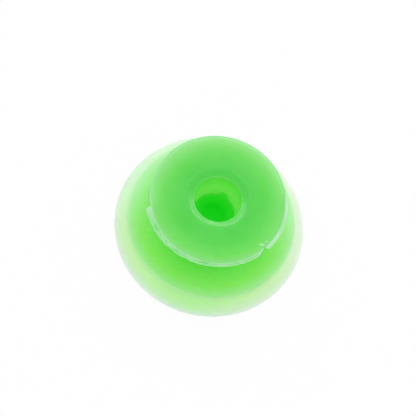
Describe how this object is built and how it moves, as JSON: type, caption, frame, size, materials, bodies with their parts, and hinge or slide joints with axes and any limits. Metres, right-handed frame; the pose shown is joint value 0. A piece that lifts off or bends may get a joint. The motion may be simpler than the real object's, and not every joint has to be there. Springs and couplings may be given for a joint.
{
  "type": "racket vibration dampener",
  "caption": "Soft domed spool that sits between two racket strings and damps their buzz: wide front flange, flexing neck, smaller rear flange with a blind hole.",
  "frame": {"origin": "centre of the flat land at the front of the dome, which the part rests on", "axes": "+Z along the spool's axis, from the front flange to the rear flange; X and Y are any two directions across it"},
  "size_m": [0.022, 0.022, 0.0114],
  "materials": {
    "pale_elastomer": "satin translucent, pale where it thins to the rim",
    "disc_elastomer": "satin translucent",
    "neck_elastomer": "satin translucent, deep where it is thick",
    "flange_elastomer": "satin translucent"
  },
  "bodies": {
    "front": {"front_cap": "pale_elastomer", "front_disc": "disc_elastomer"},
    "neck_lower": {"neck_root": "neck_elastomer"},
    "neck_upper": {"neck_tube": "neck_elastomer"},
    "rear": {"rear_flange": "flange_elastomer"}
  },
  "joints": [
    {"name": "neck_tilt_x", "type": "hinge", "parent": "front", "child": "neck_lower", "pos_m": [0, 0, 0.0054], "axis": [1, 0, 0], "range_deg": [-10, 10], "stiffness_Nm_per_rad": 0.22, "deforming": ["neck_root"]},
    {"name": "neck_tilt_y", "type": "hinge", "parent": "neck_lower", "child": "neck_upper", "pos_m": [0, 0, 0.0072], "axis": [0, 1, 0], "range_deg": [-10, 10], "stiffness_Nm_per_rad": 0.22},
    {"name": "neck_stretch", "type": "slide", "parent": "neck_upper", "child": "rear", "axis": [0, 0, 1], "range_m": [-0.0005, 0.0015], "stiffness_N_per_m": 28000, "deforming": ["neck_tube"]}
  ]
}
